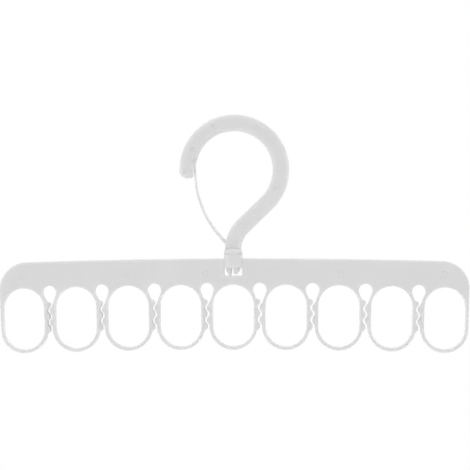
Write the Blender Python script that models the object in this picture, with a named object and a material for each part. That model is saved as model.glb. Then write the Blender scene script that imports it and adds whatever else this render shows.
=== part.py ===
"""Rotating-hook drying hanger: an arched beam with nine hanging loops, turning on a snapped-in hook.

Metres, +Z up, +X along the beam, +Y away from the viewer. The origin is on the swivel axis, at the crown
of the hook's inside, where the hook bears on a pole.
"""

import math

import bmesh
import bpy
from mathutils import Vector

MM = 0.001

# Frame moulding: beam and loops
PLATE_THICKNESS = 8.0 * MM
EDGE_ROUND = 1.0 * MM  # round on the edges of the beam's underside and of the loops
TOP_ROUND = 1.8 * MM  # larger round along the beam's top edge
LOOP_COUNT = 9
LOOP_RADIUS = 18.65 * MM  # inner radius of a loop's two round ends
LOOP_SPACING = 10.8 * MM  # between the insides of two neighbouring loops
LOOP_STRAIGHT = 18.9 * MM  # straight side between the round ends
RING_WALL = 3.2 * MM  # wall round the bottom of a loop
END_WALL = 3.0 * MM  # outer wall of the first and the last loop
BEAM_DEPTH = 24.1 * MM  # from the beam's top edge to the loops' inner tops
CORNER_RADIUS = 25.0 * MM
ARCH_SAG = 3.0 * MM  # how far the top edge drops from the middle to the last loop
JOINT_WALL = 1.2 * MM  # between the teardrops and the flat faces where the loops meet the beam

# Sock grips between the loops
TEARDROP_RADIUS = 6.2 * MM
TEARDROP_DROP = 4.5 * MM  # its centre, below the loops' inner tops
TEARDROP_TAPER = math.radians(23.4)  # its sides, from the vertical
TOOTH_DROP = 15.3 * MM  # middle of the first tooth, below the loops' inner tops
TOOTH_PITCH = 11.2 * MM
TOOTH_FLAT = 2.6 * MM  # on each tip and in each valley
TOOTH_REACH = 1.1 * MM  # how far the slit swings to each side of its middle
TOOTH_BACK = 1.7 * MM  # height of the first tooth's upper flank
TEETH = 3
LUG_RUN = 0.7 * MM  # how much longer the last tooth's flat is, downwards
SLIT_WIDTH = 2.0 * MM

# Collar, pad and window that hold the hook
RUN_GAP = 0.3 * MM  # between parts that turn or lean on each other
BORE_RADIUS = 5.3 * MM
BARREL_RADIUS = 8.1 * MM
LIP_RADIUS = 8.4 * MM
LIP_HEIGHT = 4.5 * MM  # to the middle of the groove under it
LIP_ROUND = 1.5 * MM  # on its top edge
LIP_GROOVE = 0.7 * MM  # depth, and half its height
NECK_FLARE = 0.7 * MM  # the plate behind the barrel is this much wider than the lip where it meets the beam
COLLAR_RISE = 8.9 * MM  # top of the lip, above the beam's top edge
BARREL_LENGTH = 17.2 * MM  # from the top of the lip to the window
WINDOW_WIDTH = 16.2 * MM
WINDOW_HEIGHT = 7.6 * MM
WINDOW_CORNER = 1.6 * MM
PAD_WIDTH = 28.0 * MM
PAD_PROUD = 1.2 * MM  # on each face of the plate
PAD_MARGIN = 0.4 * MM  # from its lower edge to where the loops meet the beam

# Swivel hook
RING_RADIUS = 42.6 * MM  # to the middle of the rod
RING_OFFSET = 1.3 * MM  # ring's centre, beside the swivel axis
ROD_WIDTH = 14.7 * MM  # in the plane of the ring
ROD_DEPTH = 11.0 * MM
ROD_ROUND = 5.0 * MM
SLANT = math.radians(45.8)  # straight stretch between ring and shank, from the vertical
BEND_RADIUS = 30.5 * MM
BEND_SINK = 1.4 * MM  # the bend would end this far below the shank's foot
TIP_DROP = 7.9 * MM  # end of the hook, below the ring's centre
TIP_ROUND = 7.0 * MM  # of its end, seen from the front
TIP_DEPTH_ROUND = 4.4 * MM  # the same, seen from the side
BASE_RADIUS = 7.1 * MM  # round foot of the shank, over the collar
BASE_HEIGHT = 6.0 * MM
BASE_ROUND = 0.7 * MM
BARB_CATCH = 0.9 * MM  # how far the barbs stand out past the bore
BARB_HEIGHT = 2.0 * MM
PRONG_LENGTH = 5.9 * MM  # below the collar
PRONG_TIP_RADIUS = 4.2 * MM
PRONG_GAP = 1.6 * MM
PRONG_TIP_GAP = 2.0 * MM
PRONG_SLOT = 9.0 * MM  # how far the gap runs up inside the bore

# Gate strap across the hook's mouth
GATE_WIDTH = 6.0 * MM  # along Y
GATE_ROOT_THICKNESS = 3.2 * MM
GATE_TIP_THICKNESS = 2.0 * MM
GATE_ROUND = 0.4 * MM
GATE_ARC_RADIUS = 87.5 * MM
GATE_ARC_DROP = 2.7 * MM  # where the arc turns vertical, below the ring's centre
GATE_PROUD = 0.75 * MM  # how far its inner face stands inside the ring
GATE_PIVOT_REACH = 16.0 * MM  # from the shank's side to where it bends, along the strap
GATE_PAD_LENGTH = 7.0 * MM  # thicker rest at the strap's tip
GATE_PAD_THICKNESS = 2.85 * MM
STEP_TOP = 9.0 * MM  # top of the step that the tip leans on, above the ring's centre
TIP_GAP = 1.0 * MM  # above the strap's tip, so that it can swing past the step
FOOT_PROUD = 0.3 * MM  # the strap's foot, past the side of the shank's base
FOOT_DEPTH = 12.6 * MM
FOOT_INNER = 2.0 * MM  # where it ends, short of the swivel axis
FOOT_HEIGHT = 8.2 * MM

# Facets
ARC_STEP = math.radians(15)
TURN_FACETS = 32
ROD_STEP = ARC_STEP / 2
ROD_CORNER_STEPS = 3

# Worked out from the sizes above
LOOP_PITCH = 2 * LOOP_RADIUS + LOOP_SPACING
INNER_TOP = -BEAM_DEPTH
UPPER_CENTRE = INNER_TOP - LOOP_RADIUS
LOWER_CENTRE = UPPER_CENTRE - LOOP_STRAIGHT
LOOPS_MIDDLE = (UPPER_CENTRE + LOWER_CENTRE) / 2
LAST_LOOP_X = LOOP_PITCH * (LOOP_COUNT - 1) / 2
ARCH_RADIUS = (LAST_LOOP_X**2 + ARCH_SAG**2) / (2 * ARCH_SAG)
LOOP_ANGLE = LOOP_PITCH / (ARCH_RADIUS + LOOPS_MIDDLE)
HALF_WIDTH = LOOP_RADIUS + END_WALL
EDGE_SHARE = EDGE_ROUND / TOP_ROUND
TEAR_CENTRE = INNER_TOP - TEARDROP_DROP
JOINT = TEAR_CENTRE + TEARDROP_RADIUS + JOINT_WALL
INNER_RING_RADIUS = RING_RADIUS - ROD_WIDTH / 2
RING_HEIGHT = -math.sqrt(INNER_RING_RADIUS**2 - RING_OFFSET**2)  # ring's centre, so the crown is at zero
BEND_END = (
    (BEND_RADIUS - RING_OFFSET) * math.cos(SLANT) + RING_HEIGHT * math.sin(SLANT) - BEND_RADIUS - RING_RADIUS
) / math.sin(SLANT)
SHANK_FOOT = BEND_END + BEND_SINK
COLLAR_TOP = SHANK_FOOT - RUN_GAP
JOURNAL_RADIUS = BORE_RADIUS - RUN_GAP
GATE_X = RING_OFFSET - INNER_RING_RADIUS + GATE_PROUD - GATE_TIP_THICKNESS / 2
GATE_ARC_Z = RING_HEIGHT - GATE_ARC_DROP
GATE_TIP_Z = RING_HEIGHT + STEP_TOP - TIP_GAP
GATE_INNER_X = GATE_X + GATE_TIP_THICKNESS / 2
STEP_X = GATE_INNER_X - GATE_PAD_THICKNESS - RUN_GAP
GATE_ROOT_ANGLE = math.acos(1 - (-BASE_RADIUS - GATE_X) / GATE_ARC_RADIUS)
GATE_PIVOT_ANGLE = GATE_ROOT_ANGLE - GATE_PIVOT_REACH / GATE_ARC_RADIUS


# Scene and materials

def clear_scene():
    for obj in list(bpy.data.objects):
        bpy.data.objects.remove(obj, do_unlink=True)


def plastic(name, colour, roughness):
    material = bpy.data.materials.new(name)
    material.use_nodes = True
    shader = material.node_tree.nodes["Principled BSDF"]
    shader.inputs["Base Color"].default_value = (*colour, 1)
    shader.inputs["Roughness"].default_value = roughness
    shader.inputs["Metallic"].default_value = 0
    return material


def add_object(name, bm, material=None, parent=None, place=(0, 0, 0), turn=0):
    """A named object of a finished bmesh; turn is its rotation about Y."""
    bmesh.ops.recalc_face_normals(bm, faces=bm.faces)
    mesh = bpy.data.meshes.new(name)
    bm.to_mesh(mesh)
    bm.free()
    mesh.shade_smooth()
    mesh.set_sharp_from_angle(angle=math.radians(40))
    obj = bpy.data.objects.new(name, mesh)
    bpy.context.scene.collection.objects.link(obj)
    if material:
        mesh.materials.append(material)
    obj.parent = parent
    obj.location = place
    obj.rotation_euler.y = turn
    return obj


def add_axis(name, place):
    empty = bpy.data.objects.new(name, None)
    empty.location = place
    empty.empty_display_size = 0.02
    bpy.context.scene.collection.objects.link(empty)
    return empty


def combine(obj, tool, operation):
    """A live boolean with a hidden tool object, which moves with the object it shapes."""
    tool.hide_render = True
    tool.display_type = "WIRE"
    modifier = obj.modifiers.new(tool.name, "BOOLEAN")
    modifier.operation = operation
    modifier.object = tool


# Outlines and solids

def arc(centre, radius, start, end, first=True, last=True, step=ARC_STEP):
    """Points of a circular arc, in the XZ plane, about one every step."""
    count = max(2, round(abs(end - start) / step))
    steps = range(0 if first else 1, count + (1 if last else 0))
    angles = [start + (end - start) * i / count for i in steps]
    return [(centre[0] + radius * math.cos(a), centre[1] + radius * math.sin(a)) for a in angles]


def add_rim(bm, outline, thickness, rounds):
    """An outline's points on both faces of a plate, and the walls between them."""
    layers = [[bm.verts.new((x, y, z)) for x, z in outline] for y in (-thickness / 2, thickness / 2)]
    weights = bm.edges.layers.float
    weight = weights.get("bevel_weight_edge") or weights.new("bevel_weight_edge")
    for i, share in enumerate(rounds):
        j = (i + 1) % len(outline)
        bm.faces.new((layers[0][i], layers[0][j], layers[1][j], layers[1][i]))
        for layer in layers:
            bm.edges.get((layer[i], layer[j]))[weight] = share
    return layers


def plate(outline, thickness, rounds=None):
    """A flat solid from an (x, z) outline; rounds holds each outline edge's share of the bevel."""
    bm = bmesh.new()
    for layer in add_rim(bm, outline, thickness, rounds or [0] * len(outline)):
        bm.faces.new(layer)
    return bm


def holed_plate(outline, hole, thickness, rounds, hole_round):
    """The same with a hole; both outlines start at the top and run the same way round."""
    bm = bmesh.new()
    outer_layers = add_rim(bm, outline, thickness, rounds)
    inner_layers = add_rim(bm, hole, thickness, [hole_round] * len(hole))
    low, hole_low = [min(range(len(ring)), key=lambda i: ring[i][1]) for ring in (outline, hole)]
    for outer, inner in zip(outer_layers, inner_layers):
        bm.faces.new(outer[: low + 1] + inner[hole_low::-1])
        bm.faces.new(outer[low:] + outer[:1] + inner[:1] + inner[: hole_low - 1 : -1])
    return bm


def round_edges(obj, width, segments=2):
    modifier = obj.modifiers.new("edge_round", "BEVEL")
    modifier.limit_method = "WEIGHT"
    modifier.width = width
    modifier.segments = segments


def turned(profile):
    """A solid of revolution about Z; the profile starts and ends on the axis."""
    bm = bmesh.new()
    verts = [bm.verts.new((r, 0, z)) for r, z in profile]
    edges = [bm.edges.new(pair) for pair in zip(verts, verts[1:])]
    bmesh.ops.spin(
        bm, geom=verts + edges, cent=(0, 0, 0), axis=(0, 0, 1), angle=math.tau, steps=TURN_FACETS
    )
    bmesh.ops.remove_doubles(bm, verts=bm.verts, dist=0.001 * MM)
    return bm


def block(low, high):
    bm = bmesh.new()
    bmesh.ops.create_cube(bm, size=1)
    size = [b - a for a, b in zip(low, high)]
    bmesh.ops.scale(bm, verts=bm.verts, vec=size)
    bmesh.ops.translate(bm, verts=bm.verts, vec=[(a + b) / 2 for a, b in zip(low, high)])
    return bm


def pin_along_y(x, z, radius, length):
    ring = arc((x, z), radius, 0, math.tau, last=False)
    return plate(ring, length)


# Frame moulding

def between(z):
    """Distance from a loop's centre line to the middle of the slit beside it, at a height."""
    return (ARCH_RADIUS + z) * math.tan(LOOP_ANGLE / 2)


def tear_side(z):
    """Half width of the teardrop on its straight sides, at a height."""
    return (TEARDROP_RADIUS - (TEAR_CENTRE - z) * math.sin(TEARDROP_TAPER)) / math.cos(TEARDROP_TAPER)


def on_arch(angle, x, z):
    """A point beside and above the beam's top edge at an angle along the arch, from the collar's top."""
    up = ARCH_RADIUS + z
    return (
        up * math.sin(angle) + x * math.cos(angle),
        up * math.cos(angle) - x * math.sin(angle) - ARCH_RADIUS - COLLAR_RISE,
    )


def tooth_flats():
    """Upper and lower end of every second flat down the slit, starting with the first tooth's."""
    middles = [INNER_TOP - TOOTH_DROP - TOOTH_PITCH * i for i in range(TEETH)]
    return [(z + TOOTH_FLAT / 2, z - TOOTH_FLAT / 2) for z in middles]


def lug_side():
    """Right side of a loop, downwards: half a teardrop, teeth that point away, the lug under the last."""
    teeth = tooth_flats()
    teeth[-1] = (teeth[-1][0], teeth[-1][1] - LUG_RUN)
    shoulder = teeth[0][0] + TOOTH_BACK
    tear = arc((0, TEAR_CENTRE), TEARDROP_RADIUS, math.pi / 2, math.pi + TEARDROP_TAPER)
    points = [(between(JOINT), JOINT)]
    points += [(between(z) + x, z) for x, z in tear]
    points.append((between(shoulder) - tear_side(shoulder), shoulder))
    for i, tooth in enumerate(teeth):
        points += [(between(z) + TOOTH_REACH - SLIT_WIDTH / 2, z) for z in tooth]
        if i < TEETH - 1:
            valley = [z - TOOTH_PITCH / 2 for z in tooth]
            points += [(between(z) - TOOTH_REACH - SLIT_WIDTH / 2, z) for z in valley]
    # From there, 45 degrees back to the outer round
    x, z = points[-1][0], points[-1][1] - LOWER_CENTRE
    reach = (x + z) - math.sqrt(2 * (LOOP_RADIUS + RING_WALL) ** 2 - (x - z) ** 2)
    points.append((x - reach / 2, LOWER_CENTRE + z - reach / 2))
    return points, [0] + [EDGE_SHARE] * (len(points) - 1)


def nib_side():
    """Left side of a loop, downwards: half a teardrop, and teeth that fit between the last loop's."""
    tear = arc((0, TEAR_CENTRE), TEARDROP_RADIUS, math.pi / 2, -TEARDROP_TAPER)
    points = [(-between(JOINT), JOINT)]
    points += [(x - between(z), z) for x, z in tear]
    for i, valley in enumerate(tooth_flats()):
        if i == 0:
            valley = valley[1:]
        points += [(TOOTH_REACH + SLIT_WIDTH / 2 - between(z), z) for z in valley]
        if i < TEETH - 1:
            tooth = [z - TOOTH_PITCH / 2 for z in tooth_flats()[i]]
            points += [(SLIT_WIDTH / 2 - TOOTH_REACH - between(z), z) for z in tooth]
    # Then along the tangent to the outer round
    x, z = points[-1][0], points[-1][1] - LOWER_CENTRE
    radius = LOOP_RADIUS + RING_WALL
    touch = math.atan2(z, x) + math.acos(min(1, radius / math.hypot(x, z)))
    points.append((radius * math.cos(touch), LOWER_CENTRE + radius * math.sin(touch)))
    return points, [0] + [EDGE_SHARE] * (len(points) - 1)


def end_corner():
    """The beam's rounded end as two runs of points, above and below the joint to the last loop."""
    centre = (HALF_WIDTH - CORNER_RADIUS, -CORNER_RADIUS)
    lean = math.asin(max(0, 1 + JOINT / CORNER_RADIUS))
    joint = (centre[0] + CORNER_RADIUS * math.cos(lean), JOINT)
    above = arc(centre, CORNER_RADIUS, math.pi / 2, lean, last=False)
    below = arc(centre, CORNER_RADIUS, lean, 0, first=False) if lean else []
    return above + [joint], [joint] + below


def end_side(sign):
    """Plain outer side of the first or last loop, downwards to where the bottom round starts."""
    corner = [(sign * x, z) for x, z in end_corner()[1]]
    shares = [1] * (len(corner) - 1) + [EDGE_SHARE] * 2
    return corner + [(sign * HALF_WIDTH, LOWER_CENTRE)], shares


def bottom_round(start, end):
    """Outer round under a loop, from the left arm's last point to the right arm's."""
    first, last = [math.atan2(z - LOWER_CENTRE, x) % math.tau for x, z in (start, end)]
    radii = [math.hypot(x, z - LOWER_CENTRE) for x, z in (start, end)]
    middle = 1.5 * math.pi
    last = last if last > math.pi else last + math.tau
    count = max(6, round((last - first) / ARC_STEP))
    points = []
    for i in range(1, count):
        angle = first + (last - first) * i / count
        side = radii[0] if angle < middle else radii[1]
        share = math.sin(angle - math.pi) ** 2
        radius = side + (LOOP_RADIUS + RING_WALL - side) * share
        points.append((radius * math.cos(angle), LOWER_CENTRE + radius * math.sin(angle)))
    return points


def loop_outline(left, right):
    """A loop's outer outline in its own frame, anticlockwise from the top, and its edges' bevel shares."""
    (left_points, left_shares), (right_points, right_shares) = left, right
    bottom = bottom_round(left_points[-1], right_points[-1])
    points = [(0, JOINT)] + left_points + bottom + right_points[::-1]
    shares = [0] + left_shares + [EDGE_SHARE] * len(bottom) + right_shares[-2::-1] + [0]
    return points, shares


def make_loops(parent, material):
    hole = arc((0, UPPER_CENTRE), LOOP_RADIUS, math.pi / 2, math.pi)
    hole += arc((0, LOWER_CENTRE), LOOP_RADIUS, math.pi, math.tau)
    hole += arc((0, UPPER_CENTRE), LOOP_RADIUS, 0, math.pi / 2, last=False)
    for number in range(1, LOOP_COUNT + 1):
        left = end_side(-1) if number == 1 else nib_side()
        right = end_side(1) if number == LOOP_COUNT else lug_side()
        outline, shares = loop_outline(left, right)
        angle = LOOP_ANGLE * (number - (LOOP_COUNT + 1) / 2)
        x, z = on_arch(angle, 0, 0)
        bm = holed_plate(outline, hole, PLATE_THICKNESS, shares, EDGE_SHARE)
        loop = add_object(f"loop_{number}", bm, material, parent, (x, 0, z), angle)
        round_edges(loop, TOP_ROUND)


def beam_outline():
    """Closed outline of the beam, clockwise from its lower left corner, and its edges' bevel shares."""
    last = LOOP_ANGLE * (LOOP_COUNT - 1) / 2
    corner = end_corner()[0]
    turn = last + math.atan2(HALF_WIDTH - CORNER_RADIUS, ARCH_RADIUS)
    top_steps = 2 * LOOP_COUNT
    points = [on_arch(-last, -x, z) for x, z in corner[::-1]]
    points += [on_arch(turn * (2 * i / top_steps - 1), 0, 0) for i in range(1, top_steps)]
    points += [on_arch(last, x, z) for x, z in corner]
    shares = [1] * (len(points) - 1) + [0] * LOOP_COUNT
    for number in range(LOOP_COUNT, 1, -1):
        angle = LOOP_ANGLE * (number - (LOOP_COUNT + 1) / 2)
        points.append(on_arch(angle, -between(JOINT), JOINT))
    return points, shares


def make_beam(parent, material):
    outline, shares = beam_outline()
    beam = add_object("top_beam", plate(outline, PLATE_THICKNESS, shares), material, parent)
    round_edges(beam, TOP_ROUND)

    proud = PLATE_THICKNESS / 2 + PAD_PROUD
    pad_low = JOINT - COLLAR_RISE + PAD_MARGIN
    pad = block((-PAD_WIDTH / 2, -proud, pad_low), (PAD_WIDTH / 2, proud, -COLLAR_RISE - RUN_GAP))
    bmesh.ops.bevel(pad, geom=pad.edges[:], offset=PAD_PROUD * 0.95, segments=1, affect="EDGES")
    combine(beam, add_object("pad_form", pad, parent=parent), "UNION")

    flare = LIP_RADIUS + NECK_FLARE
    neck_top = LIP_GROOVE - LIP_HEIGHT
    neck_low = -COLLAR_RISE - RUN_GAP - TOP_ROUND / 2
    neck = [
        (-LIP_RADIUS, neck_top),
        (LIP_RADIUS, neck_top),
        (flare, -COLLAR_RISE),
        (flare, neck_low),
        (-flare, neck_low),
        (-flare, -COLLAR_RISE),
    ]
    combine(beam, add_object("neck_form", plate(neck, PLATE_THICKNESS), parent=parent), "UNION")

    bead = arc((LIP_RADIUS - LIP_ROUND, -LIP_ROUND), LIP_ROUND, math.pi / 2, 0, step=2 * ARC_STEP)
    collar = turned([
        (0, 0),
        *bead,
        (LIP_RADIUS, LIP_GROOVE - LIP_HEIGHT),
        (LIP_RADIUS - LIP_GROOVE, -LIP_HEIGHT),
        (BARREL_RADIUS, -LIP_HEIGHT - LIP_GROOVE),
        (BARREL_RADIUS, -BARREL_LENGTH),
        (0, -BARREL_LENGTH),
    ])
    combine(beam, add_object("collar_form", collar, parent=parent), "UNION")

    half = (WINDOW_WIDTH / 2, WINDOW_HEIGHT / 2)
    middle = -BARREL_LENGTH - half[1]
    window = []
    for right, up in ((-1, 1), (1, 1), (1, -1), (-1, -1)):
        side = (right * half[0], middle + up * (half[1] - WINDOW_CORNER))
        end = (right * (half[0] - WINDOW_CORNER), middle + up * half[1])
        window += [side, end] if right * up < 0 else [end, side]
    combine(beam, add_object("window_cut", plate(window, 4 * proud), parent=parent), "DIFFERENCE")

    bore_end = -BARREL_LENGTH - RUN_GAP
    bore = turned([(0, RUN_GAP), (BORE_RADIUS, RUN_GAP), (BORE_RADIUS, bore_end), (0, bore_end)])
    combine(beam, add_object("bore_cut", bore, parent=parent), "DIFFERENCE")


# Swivel hook

def rod_section(width, depth):
    """Rounded rectangle, as (across, y) points."""
    corner = min(ROD_ROUND, width / 2.1, depth / 2.1)
    points = []
    for quarter in range(4):
        side = (1 if quarter in (0, 3) else -1, 1 if quarter < 2 else -1)
        centre = (side[0] * (width / 2 - corner), side[1] * (depth / 2 - corner))
        for step in range(ROD_CORNER_STEPS + 1):
            angle = math.pi / 2 * (quarter + step / ROD_CORNER_STEPS)
            points.append((centre[0] + corner * math.cos(angle), centre[1] + corner * math.sin(angle)))
    return points


def hook_path():
    """Stations down the rod, from its tip to inside the base, as (x, z, inset, width)."""
    left = RING_OFFSET - RING_RADIUS
    end = RING_HEIGHT - TIP_DROP
    end_round = min(TIP_ROUND, 0.9 * TIP_DROP, 0.48 * ROD_WIDTH)
    stations = []
    for share in (1.0, 0.97, 0.88, 0.7, 0.38, 0.0):
        inset = end_round * (1 - math.sqrt(1 - share**2))
        stations.append((left, end + end_round * (1 - share), inset, ROD_WIDTH))
    ring = arc((RING_OFFSET, RING_HEIGHT), RING_RADIUS, math.pi, -SLANT, step=ROD_STEP)
    stations += [(x, z, 0, ROD_WIDTH) for x, z in ring]
    lean = math.asin((BEND_SINK + BASE_HEIGHT / 3) / BEND_RADIUS)
    bend = arc((BEND_RADIUS, BEND_END), BEND_RADIUS, math.pi - SLANT, math.pi - lean, step=ROD_STEP)
    narrowing = ROD_WIDTH - (2 * BASE_RADIUS - RUN_GAP)
    for i, (x, z) in enumerate(bend):
        stations.append((x, z, 0, ROD_WIDTH - narrowing * i / (len(bend) - 1)))
    return stations


def swept_rod():
    """The hook's rod, closed at both ends."""
    bm = bmesh.new()
    rings = []
    stations = hook_path()
    for i, (x, z, inset, width) in enumerate(stations):
        ahead = Vector(stations[min(i + 1, len(stations) - 1)][:2])
        along = (ahead - Vector(stations[max(i - 1, 0)][:2])).normalized()
        wide = 1 - 2 * inset / width
        deep = 1 - 2 * inset * (TIP_DEPTH_ROUND / TIP_ROUND) / ROD_DEPTH
        rings.append([
            bm.verts.new((x + u * wide * along.y, v * deep, z - u * wide * along.x))
            for u, v in rod_section(width, ROD_DEPTH)
        ])
    for a, b in zip(rings, rings[1:]):
        for i in range(len(a)):
            j = (i + 1) % len(a)
            bm.faces.new((a[i], a[j], b[j], b[i]))
    bm.faces.new(rings[0])
    bm.faces.new(rings[-1])
    return bm


def strap_edges(start, end, count):
    """Outer and inner edge points of the gate strap between two angles of its arc."""
    outer, inner = [], []
    growth = (GATE_ROOT_THICKNESS - GATE_TIP_THICKNESS) / GATE_ROOT_ANGLE
    for i in range(count + 1):
        angle = start + (end - start) * i / count
        half = (GATE_TIP_THICKNESS + growth * angle) / 2
        for side, points in ((half, outer), (-half, inner)):
            radius = GATE_ARC_RADIUS + side
            points.append((
                GATE_X + GATE_ARC_RADIUS - radius * math.cos(angle),
                GATE_ARC_Z - radius * math.sin(angle),
            ))
    return outer, inner


def gate_pivot():
    x = GATE_X + GATE_ARC_RADIUS * (1 - math.cos(GATE_PIVOT_ANGLE))
    z = GATE_ARC_Z - GATE_ARC_RADIUS * math.sin(GATE_PIVOT_ANGLE)
    outer, inner = strap_edges(GATE_PIVOT_ANGLE, GATE_PIVOT_ANGLE * 0.9, 1)
    radius = (Vector(outer[0]) - Vector(inner[0])).length / 2
    return x, z, radius


def make_hook(material):
    hook = add_object("swivel_hook", swept_rod(), material)
    ledge = COLLAR_TOP - BARREL_LENGTH - RUN_GAP
    tip = ledge - PRONG_LENGTH
    barb = BORE_RADIUS + BARB_CATCH
    base_top = SHANK_FOOT + BASE_HEIGHT
    base = turned([
        (0, base_top),
        (BASE_RADIUS - BASE_ROUND, base_top),
        (BASE_RADIUS, base_top - BASE_ROUND),
        (BASE_RADIUS, SHANK_FOOT + BASE_ROUND),
        (BASE_RADIUS - BASE_ROUND, SHANK_FOOT),
        (JOURNAL_RADIUS, SHANK_FOOT),
        (JOURNAL_RADIUS, ledge),
        (barb, ledge),
        (barb, ledge - BARB_HEIGHT),
        (PRONG_TIP_RADIUS, tip),
        (0, tip),
    ])
    combine(hook, add_object("base_form", base), "UNION")

    foot = block(
        (-BASE_RADIUS - FOOT_PROUD, -FOOT_DEPTH / 2, SHANK_FOOT + BASE_ROUND / 2),
        (-FOOT_INNER, FOOT_DEPTH / 2, SHANK_FOOT + FOOT_HEIGHT),
    )
    bmesh.ops.bevel(foot, geom=foot.edges[:], offset=BASE_ROUND, segments=1, affect="EDGES")
    combine(hook, add_object("foot_form", foot), "UNION")

    x, z, radius = gate_pivot()
    inside = GATE_ROOT_ANGLE + (BASE_RADIUS / 2) / GATE_ARC_RADIUS
    outer, inner = strap_edges(inside, GATE_PIVOT_ANGLE, 3)
    stub = add_object("stub_form", plate(outer + inner[::-1], GATE_WIDTH, [1, 1, 1, 0, 1, 1, 1, 0]))
    round_edges(stub, GATE_ROUND, 1)
    combine(hook, stub, "UNION")
    knuckle = pin_along_y(x, z, radius + RUN_GAP, 2 * GATE_WIDTH)
    combine(hook, add_object("knuckle_cut", knuckle), "DIFFERENCE")

    deep = 2 * ROD_DEPTH
    step = block(
        (STEP_X, -deep, RING_HEIGHT - 2 * TIP_DROP),
        (STEP_X + ROD_WIDTH / 2, deep, RING_HEIGHT + STEP_TOP),
    )
    combine(hook, add_object("step_cut", step), "DIFFERENCE")
    gap = PRONG_GAP / 2
    open_gap = gap + (PRONG_TIP_GAP - PRONG_GAP)  # the slot's sides, carried on as far again
    slot_top = ledge + PRONG_SLOT
    slot_low = tip - PRONG_LENGTH
    slot = [
        (-gap, slot_top),
        (gap, slot_top),
        (gap, ledge),
        (open_gap, slot_low),
        (-open_gap, slot_low),
        (-gap, ledge),
    ]
    combine(hook, add_object("slot_cut", plate(slot, deep)), "DIFFERENCE")


# Gate strap

def make_gate(material):
    """The moving part of the strap, with its origin where it bends."""
    x, z, radius = gate_pivot()
    outer, inner = strap_edges(GATE_PIVOT_ANGLE, 0, 12)
    pad_x = GATE_INNER_X - GATE_PAD_THICKNESS
    pad_low = GATE_TIP_Z - GATE_PAD_LENGTH
    soft = GATE_TIP_THICKNESS / 2
    outer += [
        (outer[-1][0], pad_low - soft),
        (pad_x, pad_low),
        (pad_x, GATE_TIP_Z - soft),
        (pad_x + soft, GATE_TIP_Z),
    ]
    inner += [(GATE_INNER_X, GATE_TIP_Z - soft), (GATE_INNER_X - soft / 2, GATE_TIP_Z)]
    back = arc((x, z), radius, GATE_PIVOT_ANGLE, GATE_PIVOT_ANGLE - math.pi, first=False, last=False)
    outline = [(px - x, pz - z) for px, pz in outer + inner[::-1] + back]
    strap = plate(outline, GATE_WIDTH, [1] * len(outline))
    gate = add_object("gate_strap", strap, material, place=(x, 0, z))
    round_edges(gate, GATE_ROUND, 1)


def main():
    clear_scene()
    frame_plastic = plastic("polypropylene_frame", (0.80, 0.80, 0.80), 0.42)
    hook_plastic = plastic("polypropylene_hook", (0.79, 0.79, 0.79), 0.40)
    gate_plastic = plastic("polypropylene_gate", (0.81, 0.81, 0.81), 0.45)
    swivel = add_axis("swivel_axis", (0, 0, COLLAR_TOP))
    make_beam(swivel, frame_plastic)
    make_loops(swivel, frame_plastic)
    make_hook(hook_plastic)
    make_gate(gate_plastic)


main()
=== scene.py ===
import math

import bpy
from mathutils import Matrix, Quaternion, Vector


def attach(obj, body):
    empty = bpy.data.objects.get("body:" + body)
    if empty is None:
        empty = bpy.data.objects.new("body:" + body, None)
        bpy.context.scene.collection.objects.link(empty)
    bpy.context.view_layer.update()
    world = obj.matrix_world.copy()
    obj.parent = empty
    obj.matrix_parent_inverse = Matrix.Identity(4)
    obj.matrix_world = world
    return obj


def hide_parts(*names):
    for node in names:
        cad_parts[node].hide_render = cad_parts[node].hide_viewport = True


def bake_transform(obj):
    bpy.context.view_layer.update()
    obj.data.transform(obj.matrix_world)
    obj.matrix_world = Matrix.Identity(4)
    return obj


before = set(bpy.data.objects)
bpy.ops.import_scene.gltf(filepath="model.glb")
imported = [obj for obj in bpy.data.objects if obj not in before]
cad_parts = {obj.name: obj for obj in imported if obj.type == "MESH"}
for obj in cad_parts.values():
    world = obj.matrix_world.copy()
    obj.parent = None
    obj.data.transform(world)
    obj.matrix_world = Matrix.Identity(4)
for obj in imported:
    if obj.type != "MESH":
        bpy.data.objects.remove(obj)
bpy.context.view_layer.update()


# Sizes are in millimetres. Places are seen from the front and measured from the CAD's zero, which is on the
# swivel's axis, near the top of the hook's inside
def mm(value):
    return value / 1000


# Small helpers round Blender's own tools

meshing = {
    "doubles": 0.005,  # points closer than this are merged
    "lineEnds": 0.02,  # the same, where an outline's ends meet
    "flatAngle": 0.0004,  # faces turned less than this are one face, in radians
    "arcStep": 1.0,  # longest segment of a drawn arc
    "smoothAngle": 32,  # sharper edges than this stay sharp, in degrees
    "weight": 60,  # how much the large faces lead the shading
}


def deselect():
    if bpy.context.object and bpy.context.object.mode != "OBJECT":
        bpy.ops.object.mode_set(mode="OBJECT")
    bpy.ops.object.select_all(action="DESELECT")


def useOnly(obj):
    deselect()
    bpy.context.view_layer.objects.active = obj
    obj.select_set(True)


def pick(obj, kind, test):
    # Select in edit mode what passes the test, by place or normal
    bpy.ops.object.mode_set(mode="EDIT")
    bpy.ops.mesh.select_mode(type={"edges": "EDGE", "polygons": "FACE"}[kind])
    bpy.ops.mesh.select_all(action="DESELECT")
    bpy.ops.object.mode_set(mode="OBJECT")
    for part in getattr(obj.data, kind):
        part.select = bool(test(part))
    bpy.ops.object.mode_set(mode="EDIT")


def apply(obj, kind, **settings):
    useOnly(obj)
    modifier = obj.modifiers.new(kind.lower(), kind)
    for name, value in settings.items():
        setattr(modifier, name, value)
    bpy.ops.object.modifier_apply(modifier=modifier.name)


def roundEdges(obj, size, segments, angle, **settings):
    # Round every edge that turns by more than the angle, in degrees
    apply(
        obj, "BEVEL", width=mm(size), segments=segments, limit_method="ANGLE",
        angle_limit=math.radians(angle), **settings,
    )


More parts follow.
